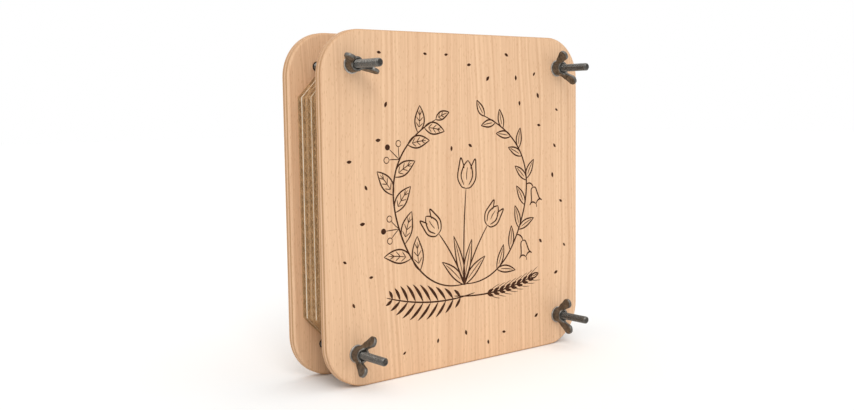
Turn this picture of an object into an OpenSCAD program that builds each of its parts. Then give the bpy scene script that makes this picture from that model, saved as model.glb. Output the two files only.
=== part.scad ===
// Flower press: two plywood plates, a stack of corrugated cards and blotting papers, four bolts with wing nuts.
// It stands on the plates' lower edges. X is the width, Z is up and -Y is the front, where the wing nuts are.

/* [Plates] */
// Width and height of both plates
plate_side = 170; // [140:1:260]
// Thickness of each plate
plate_t = 6; // [4:0.5:9]
// Radius of the plates' corners
plate_corner_r = 22; // [8:1:30]
// Radius of the rounding along the plates' edges
plate_edge_r = 1.2; // [0.4:0.1:1.8]
// Distance from each bolt's axis to the plates' two nearest edges
bolt_inset = 16.5; // [12:0.5:24]

/* [Leaves] */
// Number of corrugated cards
card_count = 6; // [2:1:8]
// Distance from a card's edges to the plates' edges
card_margin = 5; // [3:0.5:10]
// Thickness of a card
card_t = 3; // [2.4:0.1:5]
// Thickness of a card's two flat liners
liner_t = 0.4; // [0.25:0.05:0.6]
// Thickness of the wavy sheet between the liners
medium_t = 0.4; // [0.25:0.05:0.6]
// Length of one wave of that sheet
flute_pitch = 6.4; // [4:0.1:10]
// Width of the glued strip along each crest of a wave
glue_w = 0.8; // [0.4:0.1:1.2]
// Number of blotting papers between two cards
papers_per_gap = 2; // [1:1:3]
// Distance from a blotting paper's edges to the plates' edges
paper_margin = 5; // [3:0.5:12]
// Thickness of a blotting paper
paper_t = 0.5; // [0.3:0.1:1]

/* [Bolts] */
// Depth of the whole press, from the tops of the bolt heads to the ends of the bolts
press_depth = 60; // [52:1:90]
// Diameter of a bolt over its thread
bolt_d = 4; // [3:0.5:5]
// Pitch of the thread, which sets how far the press opens in one turn
thread_pitch = 0.7; // [0.5:0.05:0.8]
// Diameter of a bolt's domed head
head_d = 10.5; // [9:0.5:14]
// Height of the head
head_h = 2.5; // [1.8:0.1:3.2]
// Height of the head's straight rim
head_rim_h = 0.5; // [0.3:0.1:0.9]
// Side of the square neck that keeps the bolt from turning
neck_side = 4.2; // [4.1:0.1:6]
// Length of the square neck
neck_h = 3; // [2:0.5:3.8]
// Width of the chamfer on the bolt's end
bolt_chamfer = 0.5; // [0.3:0.1:0.9]

/* [Washers and wing nuts] */
// Outer diameter of a washer
washer_d = 9; // [8.5:0.5:12]
// Thickness of a washer
washer_t = 0.8; // [0.5:0.1:1.2]
// Diameter of a wing nut's hub on its washer
hub_base_d = 8; // [7.5:0.5:8.5]
// Diameter of the hub at its other end
hub_top_d = 7; // [6.5:0.5:7.5]
// Height of the hub
hub_h = 4.6; // [4:0.1:6]
// Distance over the tips of the two wings
wing_span = 20; // [18:0.5:26]
// Height of the wings over the washer
wing_h = 10.5; // [9:0.5:13]
// Radius of the round lobe at the end of a wing
lobe_r = 2.7; // [2:0.1:3.2]
// Thickness of a wing at its lobe
lobe_t = 1.7; // [1.2:0.1:2.2]
// Thickness of a wing where it leaves the hub
wing_root_t = 2.3; // [1.8:0.1:3]
// Width of the bevel round a wing's rim
wing_bevel = 0.35; // [0.2:0.05:0.5]
// Width of the chamfer at both mouths of a wing nut's bore
nut_chamfer = 0.4; // [0.2:0.1:0.6]

/* [Fits] */
// Gap between a bolt and a wing nut's bore, on the radius
nut_clearance = 0.05; // [0.03:0.01:0.1]
// Gap between a bolt and a washer's hole, on the radius
washer_clearance = 0.15; // [0.1:0.05:0.3]
// Gap between a bolt and its hole in a plate, on the radius
plate_clearance = 0.3; // [0.1:0.05:0.5]
// Gap between a bolt's square neck and its pocket, on each side
neck_clearance = 0.05; // [0.02:0.01:0.2]
// Gap between a bolt and the cut corners of the leaves
leaf_clearance = 0.3; // [0.2:0.05:1]

/* [Pose] */
// Turns that the wing nuts are backed off, which opens the press
turns_open = 0; // [0:1:16]
// Angle of the upper left wing nut's wings above the horizontal, press closed
upper_left_angle = -25; // [-90:1:90]
// Angle of the upper right wing nut's wings
upper_right_angle = -62; // [-90:1:90]
// Angle of the lower right wing nut's wings
lower_right_angle = -86; // [-90:1:90]
// Angle of the lower left wing nut's wings
lower_left_angle = 67; // [-90:1:90]

/* [Hidden] */
$fn = 64;
// Facets round a wing's lobe, which is blended by a hull
lobe_fn = 32;
// Facets of the whole circle that the domed head is cut from
dome_fn = 128;
// Straight steps that make up a rounded plate edge
edge_steps = 5;
// Straight steps along one wave of a card
wave_steps = 10;
// What a cut runs past the faces that it opens
overrun = 1;
// Radius of a wing's root, as a share of the hub's height
root_r_share = 0.4;
// Radius of a wing's waist, as a share of the root's and the lobe's together
waist_r_share = 0.4;
// Height of the waist, as a share of the way up from mid hub to the lobe
waist_rise_share = 0.38;

// The four bolts: name, side of the middle, side of mid height and rest angle of the wings
CORNERS = [
    ["upper_left", -1, 1, upper_left_angle],
    ["upper_right", 1, 1, upper_right_angle],
    ["lower_right", 1, -1, lower_right_angle],
    ["lower_left", -1, -1, lower_left_angle]
];

card_side = plate_side - 2 * card_margin;
paper_side = plate_side - 2 * paper_margin;
paper_count = papers_per_gap * (card_count - 1);
leaf_count = card_count + paper_count;
// Thickness of one card with the papers in front of it
layer_t = card_t + papers_per_gap * paper_t;

// Depths, from the back to the front, on the closed press
head_y = press_depth / 2;
back_plate_y = head_y - head_h;
stack_y = back_plate_y - plate_t;
front_plate_y = stack_y - (card_count - 1) * layer_t - card_t;
washer_y = front_plate_y - plate_t;
nut_y = washer_y - washer_t;

bolt_offset = plate_side / 2 - bolt_inset;
opening = turns_open * thread_pitch;

// Where the straight line across a leaf's cut corner lies: x + z of its points, from the leaf's middle
corner_line = 2 * bolt_offset - sqrt(2) * (bolt_d / 2 + leaf_clearance);

// Puts a piece that is drawn flat, with its back on z = 0, at depth y and facing the front.
module facing_front(y) {
    translate([0, y, plate_side / 2]) rotate([90, 0, 0]) children();
}

// Moves a piece onto a bolt's axis.
module at_corner(corner) {
    translate([corner[1] * bolt_offset, corner[2] * bolt_offset, 0]) children();
}

// Points of a quarter round about a centre, from one angle on to another.
function arc(centre, r, from, to, steps) = [
    for (i = [0:steps])
        let (a = from + (to - from) * i / steps)
            centre + r * [cos(a), sin(a)]
];

// Half a section through a plate of thickness t, from a line inside it to its rounded edge.
module edge_section(reach, t, r) {
    polygon(concat(
        [[0, 0]],
        arc([reach - r, r], r, -90, 0, edge_steps),
        arc([reach - r, t - r], r, 0, 90, edge_steps),
        [[0, t]]
    ));
}

// A square plate with round corners and rounded edges: a middle, four straight rims and four corners.
module rounded_plate() {
    core = plate_side / 2 - plate_corner_r;
    translate([-core, -core, 0]) cube([2 * core, 2 * core, plate_t]);
    for (turn = [0:90:270]) rotate(turn) {
        translate([core, core, 0]) rotate([90, 0, 0])
            linear_extrude(2 * core) edge_section(plate_corner_r, plate_t, plate_edge_r);
        translate([core, core, 0])
            rotate_extrude(angle = 90) edge_section(plate_corner_r, plate_t, plate_edge_r);
    }
}

// A round hole through both faces of what lies from z = 0 to z = t.
module bore(d, t) {
    translate([0, 0, -overrun]) cylinder(d = d, h = t + 2 * overrun);
}

// The back plate has a square pocket behind each hole for the bolt's neck.
module back_plate() {
    pocket = neck_side + 2 * neck_clearance;
    color("burlywood") facing_front(back_plate_y) difference() {
        rounded_plate();
        for (c = CORNERS) at_corner(c) {
            bore(bolt_d + 2 * plate_clearance, plate_t);
            translate([-pocket / 2, -pocket / 2, -overrun])
                cube([pocket, pocket, overrun + neck_h + neck_clearance]);
        }
    }
}

module front_plate() {
    color("burlywood") facing_front(front_plate_y - opening) difference() {
        rounded_plate();
        for (c = CORNERS) at_corner(c) bore(bolt_d + 2 * plate_clearance, plate_t);
    }
}

// Half a section through the domed head, drawn with the top of the dome at y = 0.
module head_section() {
    rise = head_h - head_rim_h;
    dome_r = (pow(head_d / 2, 2) + rise * rise) / (2 * rise);
    intersection() {
        translate([0, dome_r]) circle(dome_r, $fn = dome_fn);
        square([head_d / 2, head_h]);
    }
}

// A carriage bolt, from the top of its domed head at z = 0 to its chamfered end.
module bolt(corner) {
    color("darkgray") facing_front(head_y) at_corner(corner) {
        rotate_extrude() head_section();
        translate([-neck_side / 2, -neck_side / 2, head_h]) cube([neck_side, neck_side, neck_h]);
        rotate_extrude() polygon([
            [0, head_h],
            [bolt_d / 2, head_h],
            [bolt_d / 2, press_depth - bolt_chamfer],
            [bolt_d / 2 - bolt_chamfer, press_depth],
            [0, press_depth]
        ]);
    }
}

module washer(corner) {
    color("silver") facing_front(washer_y - opening) at_corner(corner) difference() {
        cylinder(d = washer_d, h = washer_t);
        bore(bolt_d + 2 * washer_clearance, washer_t);
    }
}

// A flat disc with a bevelled rim that stands on edge along a wing.
module wing_disc(r, t) {
    rotate([90, 0, 0]) {
        cylinder(r = r, h = t - 2 * wing_bevel, center = true, $fn = lobe_fn);
        cylinder(r = r - wing_bevel, h = t, center = true, $fn = lobe_fn);
    }
}

// One wing in three stations: its root on the hub, a waist and the round lobe.
module wing() {
    lobe_x = wing_span / 2 - lobe_r;
    lobe_z = wing_h - lobe_r;
    root_r = hub_h * root_r_share;
    root_x = hub_top_d / 2 - root_r / 2;
    waist_t = (lobe_t + wing_root_t) / 2;
    waist_r = (lobe_r + root_r) * waist_r_share;
    waist_x = (root_x + lobe_x) / 2;
    waist_z = hub_h / 2 + (lobe_z - hub_h / 2) * waist_rise_share;
    hull() {
        translate([root_x, 0, hub_h / 2]) wing_disc(root_r, wing_root_t);
        translate([waist_x, 0, waist_z]) wing_disc(waist_r, waist_t);
    }
    hull() {
        translate([waist_x, 0, waist_z]) wing_disc(waist_r, waist_t);
        translate([lobe_x, 0, lobe_z]) wing_disc(lobe_r, lobe_t);
    }
}

// The cone that chamfers a bore's mouth. The bore goes down from z = 0, and the cone runs on above it.
module mouth_cone(bore_d, chamfer) {
    reach = chamfer + overrun;
    translate([0, 0, -chamfer]) cylinder(d1 = bore_d, d2 = bore_d + 2 * reach, h = reach);
}

// A wing nut: a tapered hub with two wings, and the bore that runs on the bolt.
module wing_nut(corner) {
    bore_d = bolt_d + 2 * nut_clearance;
    color("dimgray") facing_front(nut_y - opening) at_corner(corner)
        rotate(corner[3] + 360 * turns_open) difference() {
            union() {
                cylinder(d1 = hub_base_d, d2 = hub_top_d, h = hub_h);
                wing();
                rotate(180) wing();
            }
            bore(bore_d, wing_h);
            rotate([180, 0, 0]) mouth_cone(bore_d, nut_chamfer);
            translate([0, 0, hub_h]) mouth_cone(bore_d, nut_chamfer);
        }
}

// What is cut off a leaf's corners to clear the bolts.
module corner_cuts(side, t) {
    half = side / 2 + overrun;
    cut = 2 * half - corner_line;
    for (turn = [0:90:270]) rotate(turn) translate([half, half, -overrun])
        linear_extrude(t + 2 * overrun) polygon([[0, 0], [-cut, 0], [0, -cut]]);
}

// How far a leaf has slid forward: the gaps between the leaves open evenly.
function leaf_slide(place) = opening * place / (leaf_count + 1);

// Height of the wavy sheet's middle over the card's back at u, measured from a crest on the front liner.
function wave(u, pitch) = card_t / 2 + (card_t / 2 - liner_t - medium_t / 2) * cos(360 * u / pitch);

// The space between two neighbouring crests and the front liner, or behind the sheet and the back liner.
function flute_cell(pitch, front) = [
    for (i = [0:wave_steps])
        let (u = glue_w / 2 + (pitch - glue_w) * i / wave_steps)
            i == 0 || i == wave_steps
                ? [u, front ? card_t - liner_t : liner_t]
                : [u, front ? wave(u, pitch) + medium_t / 2 : wave(u + pitch / 2, pitch) - medium_t / 2]
];

// Section through a card, along its height: two liners with the wavy sheet between them.
module card_section() {
    flutes = round(card_side / flute_pitch);
    pitch = card_side / flutes;
    difference() {
        translate([-card_side / 2, 0]) square([card_side, card_t]);
        for (i = [0:flutes - 1])
            translate([i * pitch - card_side / 2, 0]) polygon(flute_cell(pitch, true));
        for (i = [-1:flutes - 1])
            translate([(i + 0.5) * pitch - card_side / 2, 0]) polygon(flute_cell(pitch, false));
    }
}

// A corrugated card, whose flutes run along the width. The first is the rearmost.
module card(index) {
    y = stack_y - (index - 1) * layer_t - leaf_slide((index - 1) * (1 + papers_per_gap) + 1);
    color("peru") facing_front(y) difference() {
        rotate([90, 0, 90]) linear_extrude(card_side, center = true) card_section();
        corner_cuts(card_side, card_t);
    }
}

// A blotting paper. The first lies on the first card, and each gap between two cards holds as many.
module blotter(index) {
    gap = floor((index - 1) / papers_per_gap);
    y = stack_y - (gap + 1) * card_t - (index - 1) * paper_t - leaf_slide(index + gap + 1);
    color("oldlace") facing_front(y) difference() {
        translate([-paper_side / 2, -paper_side / 2, 0]) cube([paper_side, paper_side, paper_t]);
        corner_cuts(paper_side, paper_t);
    }
}

back_plate();
front_plate();
for (c = CORNERS) {
    bolt(c);
    washer(c);
    wing_nut(c);
}
for (i = [1:card_count]) card(i);
for (i = [1:paper_count]) blotter(i);
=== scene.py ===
import math

import bmesh
import bpy
import numpy as np
import openvdb
from mathutils import Matrix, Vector
from mathutils.geometry import delaunay_2d_cdt


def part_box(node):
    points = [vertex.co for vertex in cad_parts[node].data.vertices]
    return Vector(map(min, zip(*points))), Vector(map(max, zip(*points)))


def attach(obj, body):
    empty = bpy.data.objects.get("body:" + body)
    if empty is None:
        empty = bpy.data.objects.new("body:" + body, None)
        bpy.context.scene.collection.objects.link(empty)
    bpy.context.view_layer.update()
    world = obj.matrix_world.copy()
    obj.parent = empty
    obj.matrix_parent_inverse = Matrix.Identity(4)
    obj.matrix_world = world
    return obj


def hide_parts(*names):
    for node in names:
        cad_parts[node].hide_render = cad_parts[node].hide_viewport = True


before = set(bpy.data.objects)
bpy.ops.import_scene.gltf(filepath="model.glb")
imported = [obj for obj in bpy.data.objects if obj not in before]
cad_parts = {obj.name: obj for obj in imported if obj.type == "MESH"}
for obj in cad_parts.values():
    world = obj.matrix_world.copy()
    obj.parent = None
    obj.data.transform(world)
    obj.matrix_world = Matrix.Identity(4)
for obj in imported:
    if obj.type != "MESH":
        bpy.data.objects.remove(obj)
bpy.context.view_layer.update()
MM = 0.001

# The view
# A low three-quarter view from the front left, with the lens that the photograph was taken with.
# The press stands where its plates fill the middle of the frame from the lower edge to the upper.
CAMERA_PLACE = (-0.3417, -0.3980, 0.1326)
CAMERA_TURN = math.radians(-39.11)
CAMERA_TILT = math.radians(-5.44)
CAMERA_ROLL = math.radians(0.78)
FOCAL_PX = 1014.6
FRAME_PX = 854
SENSOR_MM = 36.0

camera_data = bpy.data.cameras.new("camera")
camera_data.sensor_width = SENSOR_MM
camera_data.lens = FOCAL_PX / FRAME_PX * SENSOR_MM
camera_data.clip_start = 1 * MM
camera = bpy.data.objects.new("camera", camera_data)
bpy.context.scene.collection.objects.link(camera)
level = Matrix.Rotation(CAMERA_TURN, 4, "Z") @ Matrix.Rotation(math.pi / 2 + CAMERA_TILT, 4, "X")
camera.matrix_world = Matrix.Translation(CAMERA_PLACE) @ level @ Matrix.Rotation(-CAMERA_ROLL, 4, "Z")
bpy.context.scene.camera = camera
bpy.context.scene.view_settings.view_transform = "Standard"

# Floor and light
# A plain white floor under an even white sky, with one soft lamp from the upper left of the front
# and one from overhead. Both are wide, so shadows stay soft, and a colour renders about as it is written.
FLOOR_HALF = 4.0
FLOOR_WHITE = "#FCFCFB"
SKY_WHITE = "#FFFFFF"
SKY_LEVEL = 0.62
# Each lamp's strength, and in degrees the width of its disc, its turn round the press and its height
LAMPS = {"lamp_front_left": (0.85, 28, -30, 38), "lamp_overhead": (0.95, 70, 20, 80)}


def linear(colour):
    """An sRGB hex colour as linear RGBA: a straight stretch near black, and a power of 2.4 above it."""
    srgb = np.array([int(colour[i : i + 2], 16) for i in (1, 3, 5)]) / 255
    rgb = np.where(srgb <= 0.04045, srgb / 12.92, ((srgb + 0.055) / 1.055) ** 2.4)
    return (*rgb.tolist(), 1.0)


def add_node(tree, kind, settings=None, inputs=None):
    """Adds a shader node with its own settings. Each input is set to a value, or linked to a socket, or to
    the first output in use of a node. A Mix node's inputs go by number: 0 is the share, 2 and 3 are the
    numbers, 4 and 5 the vectors and 6 and 7 the colours that it mixes."""
    node = tree.nodes.new("ShaderNode" + kind)
    for name, value in (settings or {}).items():
        setattr(node, name, value)
    for name, value in (inputs or {}).items():
        if isinstance(value, bpy.types.Node):
            value = next(output for output in value.outputs if output.enabled)
        if isinstance(value, bpy.types.NodeSocket):
            tree.links.new(value, node.inputs[name])
        else:
            node.inputs[name].default_value = value
    return node


def empty_tree(owner):
    """The node tree of a new material or world, cleared of the nodes that it came with."""
    owner.use_nodes = True
    owner.node_tree.nodes.clear()
    return owner.node_tree


floor_material = bpy.data.materials.new("matt_white_floor")
floor_tree = empty_tree(floor_material)
floor_shader = add_node(floor_tree, "BsdfDiffuse", inputs={"Color": linear(FLOOR_WHITE)})
add_node(floor_tree, "OutputMaterial", inputs={"Surface": floor_shader})
floor_mesh = bpy.data.meshes.new("floor")
floor_corners = [(x * FLOOR_HALF, y * FLOOR_HALF, 0.0) for x, y in ((-1, -1), (1, -1), (1, 1), (-1, 1))]
floor_mesh.from_pydata(floor_corners, [], [(0, 1, 2, 3)])
floor_mesh.materials.append(floor_material)
floor = bpy.data.objects.new("floor", floor_mesh)
bpy.context.scene.collection.objects.link(floor)

# The camera, mirrors and glass see the sky as plain white, however little light it gives
sky = bpy.data.worlds.new("even_sky")
sky_tree = empty_tree(sky)
path = add_node(sky_tree, "LightPath")
mirrored = add_node(sky_tree, "Math", {"operation": "MAXIMUM"}, {
    0: path.outputs["Is Glossy Ray"], 1: path.outputs["Is Transmission Ray"],
})
seen = add_node(sky_tree, "Math", {"operation": "MAXIMUM"}, {0: path.outputs["Is Camera Ray"], 1: mirrored})
sky_level = add_node(sky_tree, "MapRange", inputs={"Value": seen, "To Min": SKY_LEVEL})
sky_light = add_node(sky_tree, "Background", inputs={"Color": linear(SKY_WHITE), "Strength": sky_level})
add_node(sky_tree, "OutputWorld", inputs={"Surface": sky_light})
bpy.context.scene.world = sky

for name, (strength, spread, turn, height) in LAMPS.items():
    lamp_data = bpy.data.lights.new(name, "SUN")
    lamp_data.energy = strength
    lamp_data.angle = math.radians(spread)
    lamp = bpy.data.objects.new(name, lamp_data)
    tilt = Matrix.Rotation(math.radians(90 - height), 4, "X")
    lamp.matrix_world = Matrix.Rotation(math.radians(turn), 4, "Z") @ tilt
    bpy.context.scene.collection.objects.link(lamp)

# Back and front plates
# Two squares of 6 mm beech plywood, cut with large round corners, sanded along the arrises and drilled
# for the bolts. Five plies lie crosswise by turns, so the edges show long and end grain by turns.
PLIES = 5
ARRIS_R = 1.2 * MM
CORNER_R = 22 * MM
CORNER_STEPS = 24
ARRIS_STEPS = 8
HOLE_STEPS = 40
HOLE_R = 2.3 * MM
HOLE_CHAMFER = 0.25 * MM
SAME_POINT = 1e-9
NECK_POCKET = 4.3 * MM
NECK_DEPTH = 3.05 * MM
HEART_X = -40 * MM
HEART_Z = 177 * MM
HEART_TAPER = 0.13
WAVER = 16 * MM
STREAK_SPACING = 1.7 * MM
BAND_SPACING = 11 * MM
PLY_SHIFT = (137 * MM, 0.0, 71 * MM)
PLY_MARGIN_SHARE = 0.01
FLECK_SHARE = 0.36
WOOD_PALE = "#EDC59E"
WOOD_STREAK = "#D9AE88"
WOOD_FLECK = "#B98557"
END_GRAIN_PALE = "#D0A274"
END_GRAIN_DARK = "#AE7E52"
GLUE_BROWN = "#6F4526"
END_GRAIN_POWER = 1.5
# Most of the values of a noise texture lie between these two
NOISE_SPAN = {"From Min": 0.3, "From Max": 0.7}
COLOUR_MIX = {"data_type": "RGBA"}


def shell_faces(rows, columns, first=0):
    """Quads over rings of points, kept one ring after another, whose last column joins the first."""
    row, column = np.meshgrid(np.arange(rows - 1), np.arange(columns), indexing="ij")
    here = first + row * columns + column
    beside = first + row * columns + (column + 1) % columns
    return np.stack([here, beside, beside + columns, here + columns], -1).reshape(-1, 4)


def mesh_piece(name, points, faces, material, smooth_below=35):
    """A mesh object from an array of points and a list of arrays, each of faces with equally many corners.
    Every closed skin is turned outwards, and shading is smooth but for edges past an angle in degrees."""
    corners = np.concatenate([np.ravel(f) for f in faces])
    sides = np.concatenate([np.full(len(f), np.shape(f)[1]) for f in faces])
    mesh = bpy.data.meshes.new(name)
    mesh.vertices.add(len(points))
    mesh.vertices.foreach_set("co", np.ravel(points))
    mesh.loops.add(len(corners))
    mesh.loops.foreach_set("vertex_index", corners.astype(np.int32))
    mesh.polygons.add(len(sides))
    mesh.polygons.foreach_set("loop_start", (np.cumsum(sides) - sides).astype(np.int32))
    mesh.update(calc_edges=True)
    mesh.validate()
    skin = bmesh.new()
    skin.from_mesh(mesh)
    bmesh.ops.recalc_face_normals(skin, faces=skin.faces)
    skin.to_mesh(mesh)
    skin.free()
    mesh.materials.append(material)
    mesh.polygons.foreach_set("use_smooth", np.ones(len(mesh.polygons), bool))
    mesh.set_sharp_from_angle(angle=math.radians(smooth_below))
    piece = bpy.data.objects.new(name, mesh)
    bpy.context.scene.collection.objects.link(piece)
    return piece


def new_material(name):
    """A new material, its empty tree, and where each of its points lies in its piece's frame, in metres."""
    material = bpy.data.materials.new(name)
    tree = empty_tree(material)
    return material, tree, add_node(tree, "TexCoord").outputs["Object"]


def cells(x, y, z):
    """The Mapping scale that gives a pattern cells of x by y by z millimetres: one over each size."""
    return tuple(1 / (size * MM) for size in (x, y, z))


def ply_grain(tree, place, back_y, ply_t):
    """Which ply a point is in is the whole part of its depth over a ply's thickness. Odd plies swap width
    and height, and each ply is moved along, so that no two show the same grain. Returns the place in the
    grain, 1 for a crosswise ply or 0 for a lengthwise one, and the share of the way through the ply."""
    parts = add_node(tree, "SeparateXYZ", inputs={0: place})
    depth = add_node(tree, "MapRange", inputs={
        "Value": parts.outputs["Y"], "From Min": back_y, "From Max": back_y - PLIES * ply_t,
        "To Min": PLY_MARGIN_SHARE, "To Max": PLIES - PLY_MARGIN_SHARE,
    })
    ply = add_node(tree, "Math", {"operation": "FLOOR"}, {0: depth})
    in_ply = add_node(tree, "Math", {"operation": "FRACT"}, {0: depth})
    crosswise = add_node(tree, "Math", {"operation": "MODULO"}, {0: ply, 1: 2.0})
    swapped = add_node(tree, "CombineXYZ", inputs={
        "X": parts.outputs["Z"], "Y": parts.outputs["Y"], "Z": parts.outputs["X"],
    })
    along = add_node(tree, "Mix", {"data_type": "VECTOR"}, {0: crosswise, 4: place, 5: swapped})
    shift = add_node(tree, "VectorMath", {"operation": "SCALE"}, {0: PLY_SHIFT, "Scale": ply})
    grain = add_node(tree, "VectorMath", {"operation": "ADD"}, {0: along, 1: shift})
    return grain, crosswise, in_ply


def veneer_streaks(tree, grain):
    """Streaks and broad bands are two noises along one number, the distance from the log's heart line.
    The line leans a little away from the face, so that they run straight up on most of it and close into
    long arches at the upper left, and a slow noise of 36 by 140 mm makes them waver."""
    heart = add_node(tree, "Mapping", inputs={
        0: grain, "Location": (-HEART_X, 0.0, -HEART_Z * HEART_TAPER), "Scale": (1.0, 0.0, HEART_TAPER),
    })
    ring = add_node(tree, "VectorMath", {"operation": "LENGTH"}, {0: heart})
    slow = add_node(tree, "Mapping", inputs={0: grain, "Scale": cells(36, 36, 140)})
    waver = add_node(tree, "TexNoise", inputs={"Vector": slow, "Scale": 1.0, "Detail": 1.5})
    wavered = add_node(tree, "Math", {"operation": "MULTIPLY_ADD"}, {0: waver, 1: WAVER, 2: ring})
    streak = add_node(tree, "TexNoise", {"noise_dimensions": "1D"}, {
        "W": wavered, "Scale": 1 / STREAK_SPACING, "Detail": 3.0, "Roughness": 0.62,
    })
    band = add_node(tree, "TexNoise", {"noise_dimensions": "1D"}, {
        "W": wavered, "Scale": 1 / BAND_SPACING, "Detail": 1.0,
    })
    return streak, band


def veneer_colour(tree, grain, streak, band, fibre):
    """The face's colour: darker by the streaks, and a little by the bands and the fibres, with ray flecks
    on it. A fleck is a short dark dash, about 0.4 mm wide and 1.8 mm long, in a cell of 1 by 4 mm."""
    streak_tone = add_node(tree, "MapRange", inputs={"Value": streak, "From Min": 0.3, "From Max": 0.72})
    band_tone = add_node(tree, "MapRange", inputs={
        "Value": band, "From Min": 0.25, "From Max": 0.75, "To Min": -0.16, "To Max": 0.16,
    })
    fibre_tone = add_node(tree, "MapRange", inputs={
        "Value": fibre, **NOISE_SPAN, "To Min": -0.18, "To Max": 0.18,
    })
    with_band = add_node(tree, "Math", {"operation": "ADD"}, {0: streak_tone, 1: band_tone})
    tone = add_node(tree, "Math", {"operation": "ADD", "use_clamp": True}, {0: with_band, 1: fibre_tone})
    streaked = add_node(tree, "Mix", COLOUR_MIX, {0: tone, 6: linear(WOOD_PALE), 7: linear(WOOD_STREAK)})
    fleck_cells = add_node(tree, "Mapping", inputs={0: grain, "Scale": cells(1, 1, 4)})
    from_fleck = add_node(tree, "TexVoronoi", inputs={"Vector": fleck_cells, "Scale": 1.0})
    fleck = add_node(tree, "MapRange", inputs={"Value": from_fleck, "From Min": 0.26, "From Max": 0.12})
    fleck_share = add_node(tree, "Math", {"operation": "MULTIPLY"}, {0: fleck, 1: FLECK_SHARE})
    return add_node(tree, "Mix", COLOUR_MIX, {0: fleck_share, 6: streaked, 7: linear(WOOD_FLECK)})


def beech_plywood(name, back_y, ply_t):
    """Sanded beech plywood: pale orange, with fine streaks along the grain and small darker flecks. It is
    darker and speckled where it is cut across the fibres, and its edges show the glue between the plies."""
    material, tree, place = new_material(name)
    facing = add_node(tree, "SeparateXYZ", inputs={0: add_node(tree, "TexCoord").outputs["Normal"]})
    sideways, face_on, upward = (
        add_node(tree, "Math", {"operation": "ABSOLUTE"}, {0: facing.outputs[axis]}) for axis in "XYZ"
    )
    grain, crosswise, in_ply = ply_grain(tree, place, back_y, ply_t)
    streak, band = veneer_streaks(tree, grain)
    # Single fibres are too fine to show, so they are drawn in bundles of 0.5 by 11 mm
    fine = add_node(tree, "Mapping", inputs={0: grain, "Scale": cells(0.5, 0.5, 11)})
    fibre = add_node(tree, "TexNoise", inputs={"Vector": fine, "Scale": 1.0, "Detail": 2.0})
    face_colour = veneer_colour(tree, grain, streak, band, fibre)

    # End grain, where the surface faces along this ply's fibres
    end_on = add_node(tree, "Mix", {"data_type": "FLOAT"}, {0: crosswise, 2: upward, 3: sideways})
    end_share = add_node(tree, "Math", {"operation": "POWER"}, {0: end_on, 1: END_GRAIN_POWER})
    end_colour = add_node(tree, "Mix", COLOUR_MIX, {
        0: fibre, 6: linear(END_GRAIN_PALE), 7: linear(END_GRAIN_DARK),
    })
    cut = add_node(tree, "Mix", COLOUR_MIX, {0: end_share, 6: face_colour, 7: end_colour})
    # Glue lines, about 0.1 mm thick, on the edges alone
    from_middle = add_node(tree, "Math", {"operation": "SUBTRACT"}, {0: in_ply, 1: 0.5})
    to_joint = add_node(tree, "Math", {"operation": "ABSOLUTE"}, {0: from_middle})
    glue = add_node(tree, "MapRange", inputs={
        "Value": to_joint, "From Min": 0.44, "From Max": 0.485, "To Max": 0.6,
    })
    on_edge = add_node(tree, "MapRange", inputs={"Value": face_on, "From Min": 0.7, "From Max": 0.25})
    glue_share = add_node(tree, "Math", {"operation": "MULTIPLY"}, {0: glue, 1: on_edge})
    colour = add_node(tree, "Mix", COLOUR_MIX, {0: glue_share, 6: cut, 7: linear(GLUE_BROWN)})

    roughness = add_node(tree, "MapRange", inputs={
        "Value": streak, **NOISE_SPAN, "To Min": 0.52, "To Max": 0.66,
    })
    relief = add_node(tree, "Math", {"operation": "ADD"}, {0: fibre, 1: streak})
    bump = add_node(tree, "Bump", inputs={"Height": relief, "Strength": 0.35, "Distance": 0.06 * MM})
    wood = add_node(tree, "BsdfPrincipled", inputs={
        "Base Color": colour, "Roughness": roughness, "Normal": bump, "IOR": 1.45,
    })
    add_node(tree, "OutputMaterial", inputs={"Surface": wood})
    return material


def at_depth(plan, y):
    """Points that are given by their x and z, put at a depth y."""
    return np.insert(plan, 1, y, axis=1)


def rounded_square(half, inset):
    """Points round a square with round corners, drawn in: each corner's centre plus a shorter radius."""
    turns = np.arange(4).repeat(CORNER_STEPS + 1) * math.pi / 2
    steps = np.tile(np.linspace(0, math.pi / 2, CORNER_STEPS + 1), 4)
    centres = (half - CORNER_R) * math.sqrt(2)
    return np.stack([
        centres * np.cos(turns + math.pi / 4) + (CORNER_R - inset) * np.cos(turns + steps),
        centres * np.sin(turns + math.pi / 4) + (CORNER_R - inset) * np.sin(turns + steps),
    ], -1)


def hole_ring(centre, radius, square):
    """Points round a bolt hole, on a circle or on the square round it."""
    angle = np.linspace(0, 2 * math.pi, HOLE_STEPS, endpoint=False) + math.pi / HOLE_STEPS
    ring = np.stack([np.cos(angle), np.sin(angle)], -1)
    if square:
        ring /= np.abs(ring).max(1, keepdims=True)
    return np.array(centre) + radius * ring


def flat_cover(outline, holes):
    """Triangles that fill an outline but for its holes, counting the outline's points, then the holes'.
    The holes are filled too at first, by the triangles whose three corners all lie on one hole's edge."""
    loops = [outline, *holes]
    owner = np.repeat(np.arange(len(loops)), [len(loop) for loop in loops])
    edges, first = [], 0
    for loop in loops:
        here = np.arange(len(loop))
        edges.append(first + np.stack([here, (here + 1) % len(loop)], -1))
        first += len(loop)
    inside = 1
    made = delaunay_2d_cdt(
        np.concatenate(loops).tolist(), np.concatenate(edges).tolist(), [], inside, SAME_POINT
    )
    came_from = np.array([origins[0] for origins in made[3]])
    triangles = came_from[np.array(made[2])]
    owners = owner[triangles]
    in_a_hole = (owners == owners[:, :1]).all(1) & (owners[:, 0] > 0)
    return triangles[~in_a_hole]


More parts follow.
